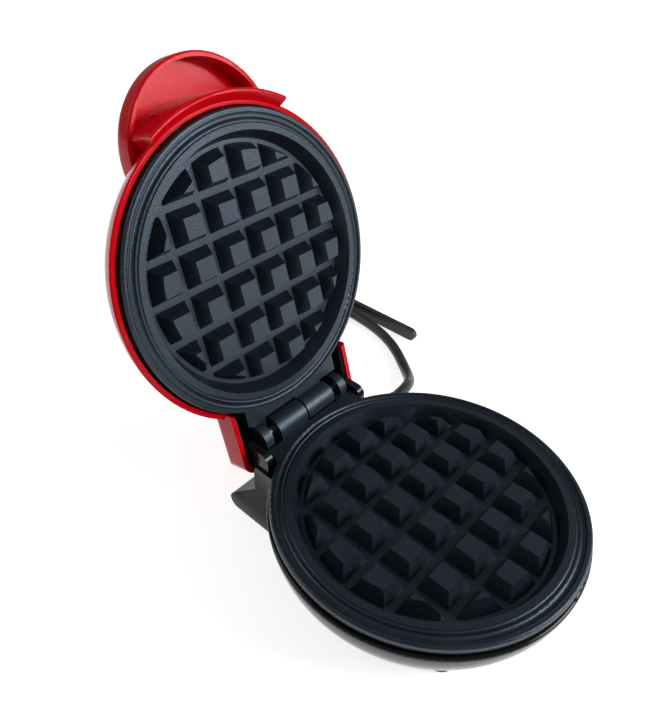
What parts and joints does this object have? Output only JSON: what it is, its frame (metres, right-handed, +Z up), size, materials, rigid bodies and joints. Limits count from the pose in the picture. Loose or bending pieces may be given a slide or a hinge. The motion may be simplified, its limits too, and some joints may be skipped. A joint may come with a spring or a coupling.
{
  "type": "mini waffle maker",
  "caption": "Round countertop waffle maker with a hinged domed lid, two grid plates, a handle hood, a base on rubber feet and a mains cord.",
  "frame": {"origin": "on the table, below the centre of the lower plate", "axes": "+X along the hinge to the right, +Y to the rear where the hinge is, +Z up"},
  "size_m": [0.1801, 0.2588, 0.1732],
  "materials": {
    "gloss_black": "gloss",
    "matte_black": "matt",
    "gloss_red": "gloss",
    "coated_casting": "non-stick coated, satin",
    "plated_steel": "bright plated",
    "heater_steel": "dull, heat tinted",
    "bright_sheet": "bright rolled sheet",
    "foot_rubber": "matt",
    "cord_black": "satin flexible vinyl",
    "brass_blades": "polished",
    "white_ceramic": "matt",
    "clear_lens": "polished",
    "lamp_glass": "polished"
  },
  "bodies": {
    "base": {"base_shell": "gloss_black", "bottom_cover": "matte_black", "bottom_cover_screws": "plated_steel", "rubber_foot_1": "foot_rubber", "rubber_foot_2": "foot_rubber", "rubber_foot_3": "foot_rubber", "rubber_foot_4": "foot_rubber", "lower_plate": "coated_casting", "lower_plate_screws": "plated_steel", "lower_heater": "heater_steel", "lower_reflector": "bright_sheet", "thermostat": "bright_sheet", "thermal_fuse": "white_ceramic", "terminal_block": "white_ceramic", "hinge_pin_left": "plated_steel", "hinge_pin_right": "plated_steel", "strain_relief": "cord_black", "power_cord": "cord_black", "cord_coil": "cord_black", "cord_tie": "cord_black", "plug_body": "cord_black", "plug_blades": "brass_blades"},
    "lid": {"lid_shell": "gloss_red", "lid_frame": "matte_black", "upper_plate": "coated_casting", "upper_plate_screws": "plated_steel", "upper_heater": "heater_steel", "upper_reflector": "bright_sheet", "lid_frame_screws": "plated_steel", "indicator_lens": "clear_lens", "indicator_lamp": "lamp_glass"}
  },
  "joints": [
    {"name": "lid_hinge", "type": "hinge", "parent": "base", "child": "lid", "pos_m": [0, 0.0675, 0.0349], "axis": [1, 0, 0], "range_deg": [0, 107]}
  ]
}
